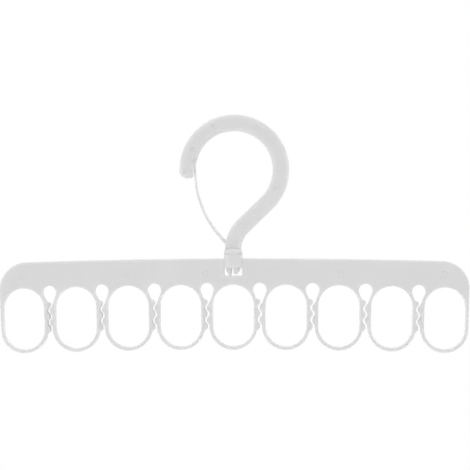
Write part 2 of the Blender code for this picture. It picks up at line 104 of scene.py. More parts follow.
def tidy(obj):
    # Doubles merged first, then every face turned outwards
    useOnly(obj)
    bpy.ops.object.transform_apply(location=True, rotation=True, scale=True)
    bpy.ops.object.mode_set(mode="EDIT")
    bpy.ops.mesh.select_all(action="SELECT")
    bpy.ops.mesh.remove_doubles(threshold=mm(meshing["doubles"]))
    bpy.ops.mesh.normals_make_consistent(inside=False)
    bpy.ops.object.mode_set(mode="OBJECT")


def combine(obj, tool, operation):
    apply(obj, "BOOLEAN", operation=operation, solver="EXACT", object=tool)
    bpy.data.objects.remove(tool, do_unlink=True)


def joinAll(pieces):
    deselect()
    for piece in pieces:
        piece.select_set(True)
    bpy.context.view_layer.objects.active = pieces[0]
    bpy.ops.object.join()
    return pieces[0]


def addBlock(left, right, depth, low, high):
    # Square-edged block between these places, its depth centred on Y = 0
    deselect()
    bpy.ops.mesh.primitive_cube_add(size=1, location=(mm((left + right) / 2), 0, mm((low + high) / 2)))
    block = bpy.context.object
    block.scale = (mm(right - left), mm(depth), mm(high - low))
    tidy(block)
    return block


def ends(obj, edge):
    return [obj.data.vertices[i].co for i in edge.vertices]


def middle(obj, edge):
    a, b = ends(obj, edge)
    return (a + b) / 2


def isUpright(obj, edge):
    a, b = ends(obj, edge)
    return (a - b).xy.length < 1e-6


def rimEdges(obj):
    # Edges between a flat face of the plate and a wall, each with its wall's normal
    faces = {}
    for face in obj.data.polygons:
        for key in face.edge_keys:
            faces.setdefault(key, []).append(face)
    for edge in obj.data.edges:
        pair = faces.get(edge.key, [])
        if len(pair) == 2:
            flat = [abs(face.normal.y) > 0.99 for face in pair]
            if flat[0] != flat[1]:
                yield edge, pair[1 if flat[0] else 0].normal


def pressMarks(body, marks, front):
    # Shallow round dents that ejector pins leave in the front of a moulding, narrower at the bottom
    inner, outer = marks["radius"] - marks["slope"], marks["radius"] + marks["slope"]
    for x, z in marks["places"]:
        deselect()
        bpy.ops.mesh.primitive_cone_add(
            vertices=32, radius1=mm(inner), radius2=mm(outer), depth=mm(2 * marks["depth"]),
            location=(mm(x), mm(-front), mm(z)), rotation=(math.pi / 2, 0, 0),
        )
        combine(body, bpy.context.object, "DIFFERENCE")


def finishShading(obj):
    useOnly(obj)
    bpy.ops.object.shade_smooth_by_angle(angle=math.radians(meshing["smoothAngle"]))
    for modifier in list(obj.modifiers):
        bpy.ops.object.modifier_apply(modifier=modifier.name)
    apply(obj, "WEIGHTED_NORMAL", keep_sharp=True, weight=meshing["weight"])


# A pen that draws outlines in the XZ plane, by extruding one point

pen = {"x": 0.0, "z": 0.0}


def startLine(name, x, z):
    deselect()
    bpy.ops.mesh.primitive_plane_add(size=mm(1), location=(0, 0, 0))
    line = bpy.context.object
    line.name = name
    bpy.ops.object.mode_set(mode="EDIT")
    bpy.ops.mesh.select_mode(type="VERT")
    bpy.ops.mesh.merge(type="CENTER")
    bpy.ops.transform.translate(value=(mm(x), 0, mm(z)))
    pen.update(x=x, z=z)
    return line


def lineTo(x, z):
    step = (mm(x - pen["x"]), 0, mm(z - pen["z"]))
    bpy.ops.mesh.extrude_region_move(TRANSFORM_OT_translate={"value": step})
    pen.update(x=x, z=z)


def arcTo(centreX, centreZ, turn, stepLength=meshing["arcStep"]):
    # The pen swings about a centre; a positive turn is anticlockwise in the front view
    radius = math.hypot(pen["x"] - centreX, pen["z"] - centreZ)
    start = math.atan2(pen["z"] - centreZ, pen["x"] - centreX)
    steps = max(2, math.ceil(abs(turn) * radius / stepLength))
    bpy.ops.mesh.spin(
        steps=steps, angle=turn, use_auto_merge=False, center=(mm(centreX), 0, mm(centreZ)), axis=(0, 1, 0)
    )
    pen.update(x=centreX + radius * math.cos(start + turn), z=centreZ + radius * math.sin(start + turn))


def closeLine(line, depth):
    # Join the outline's ends, fill it round any holes and give it its depth, centred on Y = 0
    bpy.ops.mesh.select_all(action="SELECT")
    bpy.ops.mesh.remove_doubles(threshold=mm(meshing["lineEnds"]))
    bpy.ops.mesh.fill(use_beauty=True)
    # Few large faces, so that rounds don't fold them
    bpy.ops.mesh.dissolve_limited(angle_limit=meshing["flatAngle"])
    bpy.ops.mesh.extrude_region_move(TRANSFORM_OT_translate={"value": (0, mm(depth), 0)})
    bpy.ops.mesh.select_all(action="SELECT")
    bpy.ops.transform.translate(value=(0, mm(-depth / 2), 0))
    tidy(line)
    return line


def turnProfile(line, steps):
    # Spin a drawn profile once round the swivel axis
    bpy.ops.mesh.select_all(action="SELECT")
    bpy.ops.mesh.spin(steps=steps, angle=math.tau, center=(0, 0, 0), axis=(0, 0, 1), use_auto_merge=True)
    tidy(line)
    return line


# The beam's top edge is a low arch, and the nine loops stand square to it

arch = {
    "sag": 3.0,  # drop of the top edge from the swivel to the last loop
    "top": -116.596,  # height of the top edge at the swivel
    "pitch": 48.1,
    "loops": 9,
    "middle": -52.2,  # where the pitch is measured, below the top edge
    "edgeSteps": 48,
}
arch["reach"] = arch["pitch"] * (arch["loops"] - 1) / 2  # from the swivel to the last loop
arch["radius"] = (arch["reach"] ** 2 + arch["sag"] ** 2) / (2 * arch["sag"])  # of the top edge
arch["step"] = arch["pitch"] / (arch["radius"] + arch["middle"])  # angle between two loops


def onArch(turn, x, z):
    # World place of a point beside and above the top edge, at an angle along the arch
    up = arch["radius"] + z
    return (
        up * math.sin(turn) + x * math.cos(turn),
        up * math.cos(turn) - x * math.sin(turn) - arch["radius"] + arch["top"],
    )


def copyAlongArch(obj, turns):
    # Copies with their own meshes, one at each angle
    centre = Vector((0, 0, mm(arch["top"] - arch["radius"])))
    copies = []
    for turn in turns:
        copy = obj.copy()
        copy.data = obj.data.copy()
        bpy.context.collection.objects.link(copy)
        swing = Matrix.Rotation(turn, 4, "Y")
        copy.data.transform(Matrix.Translation(centre) @ swing @ Matrix.Translation(-centre))
        copies.append(copy)
    bpy.data.objects.remove(obj, do_unlink=True)
    return copies


# The frame's flat part: beam and nine loops, drawn as one outline with holes. The heights of the loop and the
# grip are below the beam's top edge

loop = {
    "radius": 18.65,
    "upper": -42.75,  # middles of its two round ends
    "lower": -61.65,
    "wall": 3.2,
    "endWall": 3.0,  # outer wall of the first and the last loop
    "quarterSteps": 28,
}
plate = {
    "thickness": 8.0,
    "topRound": 1.8,
    "edgeRound": 1.0,
    "roundSteps": 4,
    "corner": 25.0,
    "endX": 205,  # walls that face sideways beyond this are the frame's two ends
    "fade": 12,  # below the top edge the large round fades into the small one over this height
    "fadeEnd": 20,  # and has gone this far down
    "patternShift": 0.0,  # in metres, so that no two pieces have the same mottle
    "scatter": 1.8,  # how far light spreads in this piece
}


def drawTopLine():
    # From under the last loop round the right end and along the beam to under the first loop
    last = arch["step"] * (arch["loops"] - 1) / 2
    half = loop["radius"] + loop["endWall"]
    bottom = loop["radius"] + loop["wall"]
    corner, quarter, steps = plate["corner"], loop["quarterSteps"], arch["edgeSteps"]
    line = startLine("hangerFrame", *onArch(last, 0, loop["lower"] - bottom))
    for i in range(1, quarter + 1):
        angle = math.pi / 2 * (i / quarter - 1)
        lineTo(*onArch(last, half * math.cos(angle), loop["lower"] + bottom * math.sin(angle)))
    lineTo(*onArch(last, half, -corner))
    arcTo(*onArch(last, half - corner, -corner), math.pi / 2)
    end = last - (corner - half) / arch["radius"]
    for i in range(1, steps + 1):
        lineTo(*onArch(end * (1 - 2 * i / steps), 0, 0))
    arcTo(*onArch(-last, corner - half, -corner), math.pi / 2)
    lineTo(*onArch(-last, -half, loop["lower"]))
    for i in range(1, quarter + 1):
        angle = math.pi / 2 * (2 + i / quarter)
        lineTo(*onArch(-last, half * math.cos(angle), loop["lower"] + bottom * math.sin(angle)))
    return line


grip = {
    "radius": 6.2,
    "centre": -28.6,
    "taper": math.radians(23.4),
    "firstTooth": -39.4,  # middle of its flat
    "toothPitch": 11.2,
    "toothFlat": 2.6,
    "teeth": 3,
    "reach": 1.1,  # of the zigzag, to each side of its middle line
    "slit": 2.0,
    "back": 1.7,  # from the first tooth's flat up to the teardrop's shoulder
    "lead": 0.7,  # straight stretch under the last tooth
    "arcStep": 0.6,
}


def drawGripLine():
    # One sock grip: up the lug side of the loop on its left, round the teardrop, down the other side
    turn, bottom = arch["step"] / 2, loop["radius"] + loop["wall"]
    tips = [grip["firstTooth"] - grip["toothPitch"] * i for i in range(grip["teeth"])]
    valleys = [z - grip["toothPitch"] / 2 for z in tips[:-1]]
    half, reach, flat = grip["slit"] / 2, grip["reach"], grip["toothFlat"] / 2
    top = arch["top"]

    line = startLine("gripLine", *onArch(-turn, 0, loop["lower"] - bottom))
    centreX, centreZ = onArch(-turn, 0, loop["lower"])
    lugX, lugZ = reach - half, tips[-1] - flat - grip["lead"] + top
    x, z = lugX - centreX, lugZ - centreZ
    back = ((x + z) - math.sqrt(2 * bottom**2 - (x - z) ** 2)) / 2  # 45 degrees down to the outer round
    arcTo(centreX, centreZ, math.atan2(z - back, x - back) + math.pi / 2 - turn)
    lineTo(lugX, lugZ)
    for i in range(grip["teeth"] - 1, -1, -1):
        if i < grip["teeth"] - 1:
            lineTo(lugX, tips[i] - flat + top)
        lineTo(lugX, tips[i] + flat + top)
        if i:
            lineTo(-reach - half, valleys[i - 1] - flat + top)
            lineTo(-reach - half, valleys[i - 1] + flat + top)

    shoulder = tips[0] + flat + grip["back"]
    taper, radius, centre = grip["taper"], grip["radius"], grip["centre"]
    side = (radius - (centre - shoulder) * math.sin(taper)) / math.cos(taper)
    lineTo(-side, shoulder + top)
    lineTo(-radius * math.cos(taper), centre - radius * math.sin(taper) + top)
    arcTo(0, centre + top, -math.pi - 2 * taper, grip["arcStep"])

    for i in range(grip["teeth"]):
        if i:
            lineTo(reach + half, tips[i] + flat + top)
        lineTo(reach + half, tips[i] - flat + top)
        if i < grip["teeth"] - 1:
            lineTo(half - reach, valleys[i] + flat + top)
            lineTo(half - reach, valleys[i] - flat + top)
    centreX, centreZ = onArch(turn, 0, loop["lower"])
    x, z = pen["x"] - centreX, pen["z"] - centreZ
    touch = math.atan2(z, x) + math.acos(min(1, bottom / math.hypot(x, z)))
    lineTo(centreX + bottom * math.cos(touch), centreZ + bottom * math.sin(touch))
    arcTo(centreX, centreZ, math.pi * 1.5 - turn - touch % math.tau)
    deselect()
    return line


def drawHoleLine():
    # Inside of one loop
    line = startLine("loopHole", -loop["radius"], loop["upper"] + arch["top"])
    arcTo(0, loop["upper"] + arch["top"], -math.pi)
    lineTo(loop["radius"], loop["lower"] + arch["top"])
    arcTo(0, loop["lower"] + arch["top"], -math.pi)
    lineTo(-loop["radius"], loop["upper"] + arch["top"])
    deselect()
    return line


def roundPlate(body):
    # Larger round along the beam's top edge, fading into the small one down the ends
    weights = body.data.attributes.new("bevel_weight_edge", "FLOAT", "EDGE")
    small = plate["edgeRound"] / plate["topRound"]
    for edge, normal in rimEdges(body):
        place = middle(body, edge) * 1000  # in millimetres
        below = arch["radius"] - math.hypot(place.x, place.z - arch["top"] + arch["radius"])
        facesUp, facesSideways = normal.z > 0.02, abs(normal.x) > 0.6
        outside = facesUp or facesSideways and abs(place.x) > plate["endX"]
        share = small
        if outside and below < plate["fadeEnd"]:
            share = small + (1 - small) * min(1, (plate["fadeEnd"] - below) / plate["fade"])
        weights.data[edge.index].value = share
    apply(
        body, "BEVEL", limit_method="WEIGHT", width=mm(plate["topRound"]), segments=plate["roundSteps"],
        use_clamp_overlap=False, loop_slide=False,
    )


# The collar that the hook turns in, on the middle of the beam, with the window and the low pad round it

collar = {
    "top": -107.696,
    "length": 17.2,  # down to the window
    "lip": 8.4,  # radius where it bulges most
    # Section of the lip and the groove under it: how far inside the bulge, and how far below the top
    "section": ((1.9, 0), (1.2, 0.12), (0.65, 0.45), (0.3, 0.95), (0.08, 1.6), (0, 2.3), (0.08, 2.9),
                (0.3, 3.5), (0.55, 4.0), (0.7, 4.4), (0.74, 4.85)),
    "turnedEnd": 0.5,  # above the window
    "turnedSteps": 96,
    "bore": 5.3,
    "boreSteps": 64,
    "boreOver": (1, 0.4),  # how far the bore's tool runs past the lip and into the window
}


def makeTurnedCollar():
    # Bulging lip over a groove, drawn as half a section and spun
    top, lip = collar["top"], collar["lip"]
    line = startLine("collarTurned", 0, top)
    for inside, below in collar["section"]:
        lineTo(lip - inside, top - below)
    end = collar["turnedEnd"] - collar["length"]
    lineTo(lip - collar["section"][-1][0], top + end)
    lineTo(0, top + end)
    return turnProfile(line, collar["turnedSteps"])


barrel = {
    "side": 8.3,
    "front": 7.9,
    "top": 5.8,  # below the collar's top
    "corner": 5.5,
    "cornerSteps": 10,
    "edge": 0.6,
}


def makeBarrel():
    # Below the groove the collar is a square with large rounds, so its sides run straight back to the beam
    low, high = collar["top"] - collar["length"], collar["top"] - barrel["top"]
    block = addBlock(-barrel["side"], barrel["side"], 2 * barrel["front"], low, high)
    pick(block, "edges", lambda edge: isUpright(block, edge))
    bpy.ops.mesh.bevel(offset=mm(barrel["corner"]), segments=barrel["cornerSteps"], affect="EDGES")
    bpy.ops.object.mode_set(mode="OBJECT")
    roundEdges(block, barrel["edge"], segments=3, angle=60)
    return block


neck = {
    "top": 2.4,  # below the collar's top
    "root": 3,  # below the beam's top edge
    "flare": 0.3,
    "foot": ((-0.3, 0.7), (0.6, -0.6)),  # beside the flare, and above the beam's top edge
    "sunk": 0.05,  # below the plate's face, at each side
    "round": 1.0,
}


def makeNeck():
    # Web as thick as the plate, which fills the groove at the sides and flares a little into the beam
    top, low = collar["top"] - neck["top"], arch["top"] - neck["root"]
    flare = collar["lip"] + neck["flare"]
    side = [(flare + beside, arch["top"] + above) for beside, above in neck["foot"]]
    side.append((side[-1][0], low))
    line = startLine("collarNeck", collar["lip"], top)
    for x, z in side:
        lineTo(x, z)
    for x, z in reversed(side):
        lineTo(-x, z)
    lineTo(-collar["lip"], top)
    lineTo(collar["lip"], top)
    closeLine(line, plate["thickness"] - 2 * neck["sunk"])
    roundEdges(line, neck["round"], segments=4, angle=60)
    return line


pad = {
    "width": 28.0,
    "top": -0.4,  # below the beam's top edge
    "low": -20.8,
    "proud": 0.7,
    "sunk": 0.1,  # where its ramps start, below the plate's face
    "ramp": 4.2,
    "round": 1.6,
}


def makePad():
    # Low boss round the window: a block whose two broad faces are drawn in to long ramps
    low, high = arch["top"] + pad["low"], arch["top"] + pad["top"]
    boss = addBlock(-pad["width"] / 2, pad["width"] / 2, plate["thickness"] - 2 * pad["sunk"], low, high)
    drawnIn = (1 - 2 * pad["ramp"] / pad["width"], 1, 1 - 2 * pad["ramp"] / (high - low))
    for side in (-1, 1):
        pick(boss, "polygons", lambda face: face.normal.y * side > 0.9)
        step = (0, mm(side * (pad["proud"] + pad["sunk"])), 0)
        bpy.ops.mesh.extrude_region_move(TRANSFORM_OT_translate={"value": step})
        bpy.ops.transform.resize(value=drawnIn, center_override=(0, 0, mm((low + high) / 2)))
    bpy.ops.object.mode_set(mode="OBJECT")
    roundEdges(boss, pad["round"], segments=4, angle=10)
    return boss


window = {
    "width": 16.2,
    "height": 7.6,
    "corner": 1.6,
    "arcStep": 0.5,
}


def cutWindow(body):
    half, high = window["width"] / 2, collar["top"] - collar["length"]
    low, corner = high - window["height"], window["corner"]
    centreX, centreHigh, centreLow = half - corner, high - corner, low + corner  # of its four round corners
    line = startLine("window", -centreX, high)
    for start, centre in (
        ((centreX, high), (centreX, centreHigh)), ((half, centreLow), (centreX, centreLow)),
        ((-centreX, low), (-centreX, centreLow)), ((-half, centreHigh), (-centreX, centreHigh)),
    ):
        lineTo(*start)
        arcTo(*centre, -math.pi / 2, window["arcStep"])
    closeLine(line, 3 * plate["thickness"])
    combine(body, line, "DIFFERENCE")


def cutBore(body):
    # Round hole from the lip down into the window
    top = collar["top"] + collar["boreOver"][0]
    end = collar["top"] - collar["length"] - collar["boreOver"][1]
    deselect()
    line = startLine("bore", 0, top)
    for r, z in ((collar["bore"], top), (collar["bore"], end), (0, end)):
        lineTo(r, z)
    combine(body, turnProfile(line, collar["boreSteps"]), "DIFFERENCE")


frameMarks = {
    "places": ((-194, -132.1), (-99.8, -129.2), (-25.6, -131.0), (97.9, -131.0), (193, -131.0)),
    "radius": 3.4,
    "slope": 0.5,
    "depth": 0.5,
}


def makeFrame():
    top = drawTopLine()
    deselect()
    count = arch["loops"]
    grips = copyAlongArch(drawGripLine(), [arch["step"] * (n - count / 2) for n in range(1, count)])
    holes = copyAlongArch(drawHoleLine(), [arch["step"] * (n - (count - 1) / 2) for n in range(count)])
    body = joinAll([top, *grips, *holes])
    bpy.ops.object.mode_set(mode="EDIT")
    closeLine(body, plate["thickness"])
    roundPlate(body)
    combine(body, makePad(), "UNION")
    combine(body, makeNeck(), "UNION")
    combine(body, makeTurnedCollar(), "UNION")
    combine(body, makeBarrel(), "UNION")
    cutWindow(body)
    cutBore(body)
    pressMarks(body, frameMarks, plate["thickness"] / 2)
    finishShading(body)
    return body


# The swivel hook: a rod swept round the ring, on a turned shank with two snap prongs

hook = {
    "ringX": 1.17,
    "ringZ": -35.356,
    "ringRadius": 42.73,  # to the middle of the rod
    "ringSteps": 132,
    "width": 15.3,
    "depth": 11.0,
    "round": 5.2,
    "roundSteps": 8,
    "slant": math.radians(45.8),  # of the straight stretch between the ring and the bend, off upright
    "slopeSteps": 8,
    "bendRadius": 30.5,
    "bendEnd": -108.796,
    "bendSteps": 24,
    "shankWidth": 14.5,
    "tipDrop": 7.9,
    "tipRound": (7.0, 4.4),  # seen from the front, and in its depth
    "tipRoundHeight": 6.6,
    "tipSteps": 14,
    "patternShift": 0.7,
    "scatter": 0.8,
}


def startRod(tipX, tipZ):
    # The rod's rounded-rectangle section, lying flat at the hook's end
    deselect()
    bpy.ops.mesh.primitive_plane_add(size=1, location=(mm(tipX), 0, mm(tipZ)))
    rod = bpy.context.object
    rod.name = "swivelHook"
    rod.scale = (mm(hook["width"]), mm(hook["depth"]), 1)
    bpy.ops.object.transform_apply(location=True, scale=True)
    bpy.ops.object.mode_set(mode="EDIT")
    bpy.ops.mesh.select_all(action="SELECT")
    bpy.ops.mesh.bevel(offset=mm(hook["round"]), segments=hook["roundSteps"], affect="VERTICES")
    bpy.ops.mesh.select_all(action="SELECT")
    return rod


def growRoundEnd(tipX, tipZ):
    # The section grows from small to full size as it rises, along a quarter of an ellipse
    width, depth = hook["width"], hook["depth"]
    roundX, roundY = hook["tipRound"]
    sizeX, sizeY, rise = width, depth, 0
    for i in range(hook["tipSteps"] + 1):
        angle = math.pi / 2 * i / hook["tipSteps"]
        inset = 1 - math.sin(angle)
        newX, newY = width - 2 * roundX * inset, depth - 2 * roundY * inset
        newRise = hook["tipRoundHeight"] * (1 - math.cos(angle))
        if i:
            bpy.ops.mesh.extrude_region_move(TRANSFORM_OT_translate={"value": (0, 0, mm(newRise - rise))})
        bpy.ops.transform.resize(
            value=(newX / sizeX, newY / sizeY, 1), center_override=(mm(tipX), 0, mm(tipZ + newRise))
        )
        sizeX, sizeY, rise = newX, newY, newRise
    return rise


def makeRod():
    # From the hook's end up, round the ring, down the slope and through the bend, to just inside the collar
    tipX, tipZ = hook["ringX"] - hook["ringRadius"], hook["ringZ"] - hook["tipDrop"]
    rod = startRod(tipX, tipZ)
    rise = growRoundEnd(tipX, tipZ)
    bpy.ops.mesh.extrude_region_move(TRANSFORM_OT_translate={"value": (0, 0, mm(hook["tipDrop"] - rise))})

    turn = math.pi + hook["slant"]
    bpy.ops.mesh.spin(
        steps=hook["ringSteps"], angle=-turn, center=(mm(hook["ringX"]), 0, mm(hook["ringZ"])), axis=(0, 1, 0)
    )
    endX = hook["ringX"] + hook["ringRadius"] * math.cos(math.pi - turn)
    endZ = hook["ringZ"] + hook["ringRadius"] * math.sin(math.pi - turn)

    slant, radius, bendEnd = hook["slant"], hook["bendRadius"], hook["bendEnd"]
    startX, startZ = radius - radius * math.cos(slant), bendEnd + radius * math.sin(slant)
    count = hook["slopeSteps"]
    for i in range(count):
        step = (mm((startX - endX) / count), 0, mm((startZ - endZ) / count))
        bpy.ops.mesh.extrude_region_move(TRANSFORM_OT_translate={"value": step})

    count = hook["bendSteps"]
    shrink = (hook["shankWidth"] / hook["width"]) ** (1 / count)  # at each step, to the shank's width
    for i in range(1, count + 1):
        angle = slant * (1 - i / count)
        bpy.ops.mesh.spin(steps=1, angle=slant / count, center=(mm(radius), 0, mm(bendEnd)), axis=(0, 1, 0))
        place = (mm(radius - radius * math.cos(angle)), 0, mm(bendEnd + radius * math.sin(angle)))
        bpy.ops.transform.resize(value=(shrink, 1, shrink), center_override=place)
    tidy(rod)
    return rod


shank = {
    "foot": -107.67,
    "footRound": 0.1,
    "overlap": 2,  # the journal starts this far above the foot, and the block this far below it
    "journal": 5.0,
    "journalEnd": -125.4,
    "journalChamfer": 0.4,
    "journalSteps": 72,
    "slotTop": -116.2,
    "slotGap": 1.3,
    "slotX": -0.38,
    "slotOver": 1,  # how far the slot's tool runs past the journal's end
    "slotArcStep": 0.3,
    "blockLeft": -7.4,
    "blockRight": -2.0,
    "blockDepth": 12.6,
    "blockTop": -99.2,
    "blockRound": 1.0,
}


def makeBlock():
    # Block at the shank's left, where the strap is rooted
    low = shank["foot"] - shank["overlap"]
    block = addBlock(shank["blockLeft"], shank["blockRight"], shank["blockDepth"], low, shank["blockTop"])
    roundEdges(block, shank["blockRound"], segments=4, angle=30)
    return block


def trimFoot(body):
    # The bend runs past the collar's top: cut it flat there and soften the cut's edge
    useOnly(body)
    bpy.ops.object.mode_set(mode="EDIT")
    bpy.ops.mesh.select_all(action="SELECT")
    bpy.ops.mesh.bisect(
        plane_co=(0, 0, mm(shank["foot"])), plane_no=(0, 0, 1), use_fill=True, clear_inner=True
    )
    pick(body, "polygons", lambda face: face.normal.z < -0.9 and face.center.z < mm(shank["foot"] + 0.01))
    bpy.ops.mesh.bevel(offset=mm(shank["footRound"]), segments=2, affect="EDGES")
    bpy.ops.object.mode_set(mode="OBJECT")


notch = {
    # Leaning wall, from the top down, and the end of the ceiling, seen from the front
    "line": ((-36.7, -26.67), (-35.75, -45.5), (-31.0, -25.2)),
    "front": (-36.2, -4.5),  # the wall draws back to the left from here, towards the hook's back
    "draft": math.radians(4.5),
    "round": 0.08,
    "wallArea": 2e-5,  # its wall is larger than this, in square metres
}


def cutNotch(body):
    # The inner side of the hook's end is cut back along a leaning line, where the strap's tip shuts flush
    (topX, topZ), (lowX, lowZ), (endX, endZ) = notch["line"]
    tool = startLine("notchTool", topX, topZ)
    for x, z in ((lowX, lowZ), (endX, lowZ), (endX, endZ), (topX, topZ)):
        lineTo(x, z)
    closeLine(tool, 2 * hook["depth"])
    useOnly(tool)
    frontX, frontY = notch["front"]
    bpy.ops.transform.rotate(
        value=-notch["draft"], orient_axis="Z", center_override=(mm(frontX), mm(frontY), 0)
    )
    tidy(tool)
    combine(body, tool, "DIFFERENCE")
    pick(body, "polygons", lambda face: face.normal.x > 0.9 and face.area > notch["wallArea"])
    bpy.ops.mesh.bevel(offset=mm(notch["round"]), segments=3, affect="EDGES")
    bpy.ops.object.mode_set(mode="OBJECT")


def makeJournal():
    # The part of the shank that turns in the collar's bore
    radius, top, end = shank["journal"], shank["foot"] + shank["overlap"], shank["journalEnd"]
    chamfer = shank["journalChamfer"]
    line = startLine("journalTurned", 0, top)
    for r, z in ((radius, top), (radius, end + chamfer), (radius - chamfer, end), (0, end)):
        lineTo(r, z)
    return turnProfile(line, shank["journalSteps"])


def cutProngSlot(journal):
    # The slot that lets the prongs spring together, with a round top
    half, x = shank["slotGap"] / 2, shank["slotX"]
    top, end = shank["slotTop"] - half, shank["journalEnd"] - shank["slotOver"]
    left, right = x - half, x + half
    deselect()
    slot = startLine("prongSlot", left, top)
    arcTo(x, top, -math.pi, shank["slotArcStep"])
    lineTo(right, end)
    lineTo(left, end)
    lineTo(left, top)
    closeLine(slot, 4 * shank["journal"])
    combine(journal, slot, "DIFFERENCE")


prongs = {
    "depth": 7.6,
    "round": 0.8,
    # Corners from the inner side of the root down to the tip and up the outer side; the left one is longer
    "left": ((-0.95, -124.0), (-1.0, -125.4), (-1.35, -130.4), (-1.8, -131.4), (-2.3, -132.2), (-3.6, -132.2),
             (-4.1, -131.5), (-4.6, -130.4), (-5.4, -129.4), (-6.1, -128.2), (-6.3, -126.9), (-6.3, -125.6),
             (-6.0, -125.25), (-4.6, -125.25), (-4.4, -124.0)),
    "right": ((0.2, -124.0), (0.25, -125.4), (0.58, -130.4), (1.0, -131.0), (3.1, -131.0), (3.7, -130.6),
              (4.6, -129.5), (5.3, -128.6), (6.1, -127.3), (6.25, -126.4), (6.25, -125.6), (5.95, -125.25),
              (4.6, -125.25), (4.4, -124.0)),
}


def makeProng(side):
    # Flat springy finger with a barb that catches under the collar
    corners = prongs[side]
    prong = startLine(side + "Prong", *corners[-1])
    for x, z in corners:
        lineTo(x, z)
    closeLine(prong, prongs["depth"])
    roundEdges(prong, prongs["round"], segments=4, angle=60)
    return prong


hookMarks = {
    "places": ((-36.9, -17.0), (21.9, 3.1), (38.2, -52.9), (-17.6, 5.4)),
    "radius": 2.1,
    "slope": 0.5,
    "depth": 0.55,
}


def makeHook():
    body = makeRod()
    combine(body, makeBlock(), "UNION")
    trimFoot(body)
    cutNotch(body)
    journal = makeJournal()
    cutProngSlot(journal)
    combine(journal, makeProng("left"), "UNION")
    combine(journal, makeProng("right"), "UNION")
    combine(body, journal, "UNION")
    pressMarks(body, hookMarks, hook["depth"] / 2)
    finishShading(body)
    return body


# The gate strap: a thin springy arc from the shank's foot to the hook's end

strap = {
    "width": 6.0,
    "rootThickness": 3.15,
    "tipThickness": 2.1,
    "arcRadius": 87.5,
    "middleX": -34.35,  # of its thickness, where the arc would turn upright
    "arcZ": -37.926,
    "rootAngle": math.radians(46.35),
    "rootOver": 1.05,  # the arc runs on into the block by this share of its angle
    "steps": 60,
    "lean": math.radians(4.5),  # the arc ends at this angle and the strap goes on straight
    "straight": 12.4,
    # Outline of the tip, which keeps the rod's own surface between these lines
    "tip": ((-35.45, -41.5), (-36.6, -26.77), (-31.0, -25.3), (-31.0, -41.5)),
    "tipRound": 0.08,
    "edgeRound": 0.35,
    "pivot": (-17.605, -89.197),
    "bendWay": (0.586, -0.810),  # along the strap at the pivot, towards its root
    "bendHalf": 12.5,  # how far the bend spreads to each side of the pivot
    "patternShift": 1.3,
    "scatter": 2.5,
}


def halfThickness(angle):
    # It grows evenly from the upright end of the arc to the root
    growth = (strap["rootThickness"] - strap["tipThickness"]) / strap["rootAngle"]
    return (strap["tipThickness"] + growth * angle) / 2


def strapPoint(angle, side):
    # Place on the strap's outer face, where side is 1, or on its inner face, where it is -1
    radius = strap["arcRadius"] + side * halfThickness(angle)
    return (
        strap["middleX"] + strap["arcRadius"] - radius * math.cos(angle),
        strap["arcZ"] - radius * math.sin(angle),
    )


def makeTip():
    # The piece that the notch takes out of the rod, so that the shut gate carries on its surface
    line = startLine("gateTip", *strap["tip"][-1])
    for x, z in strap["tip"]:
        lineTo(x, z)
    closeLine(line, 2 * hook["depth"])
    combine(line, makeRod(), "INTERSECT")
    roundEdges(line, strap["tipRound"], segments=3, angle=45, loop_slide=False)
    return line


def makeStrap():
    # Up the outer face from the root, on straight to the tip, and back down the inner face
    lean, steps = strap["lean"], strap["steps"]
    span = strap["rootAngle"] * strap["rootOver"] - lean
    angles = [lean + span * (1 - i / steps) for i in range(steps + 1)]
    upX, upZ = -strap["straight"] * math.sin(lean), strap["straight"] * math.cos(lean)
    line = startLine("gateStrap", *strapPoint(angles[0], 1))
    for angle in angles[1:]:
        lineTo(*strapPoint(angle, 1))
    lineTo(pen["x"] + upX, pen["z"] + upZ)
    innerX, innerZ = strapPoint(lean, -1)
    lineTo(innerX + upX, innerZ + upZ)
    for angle in reversed(angles):
        lineTo(*strapPoint(angle, -1))
    lineTo(*strapPoint(angles[0], 1))
    closeLine(line, strap["width"])
    roundEdges(line, strap["edgeRound"], segments=3, angle=50, loop_slide=False)
    combine(line, makeTip(), "UNION")
    finishShading(line)
    return line


# Materials

def linear(code):
    # sRGB hex to the linear colour that a socket takes
    parts = [int(code[i:i + 2], 16) / 255 for i in (1, 3, 5)]
    return (*[c / 12.92 if c <= 0.04045 else ((c + 0.055) / 1.055) ** 2.4 for c in parts], 1)


def addNode(tree, kind, settings=None, links=None):
    node = tree.nodes.new(kind)
    for name, value in (settings or {}).items():
        if hasattr(node, name):
            setattr(node, name, value)
        else:
            node.inputs[name].default_value = value
    for name, source in (links or {}).items():
        tree.links.new(source, node.inputs[name])
    return node


polypropylene = {
    "base": "#E1E1E1",
    "shade": "#DEDEDE",  # where the flow mottle is darkest
    "mottle": 38,  # size of the mottle
    "mottleRoughness": 0.55,
    "mottleRange": (0.3, 0.7),  # the part of the noise that is used
    "roughness": (0.36, 0.46),
    "grain": 0.8,  # from one grain to the next, coarser than the real 0.1 so that it shows
    "grainDepth": 0.05,
    "grainStrength": 0.12,
    "ior": 1.49,
    "milkiness": 0.9,  # share of the light that goes through the surface and scatters
}


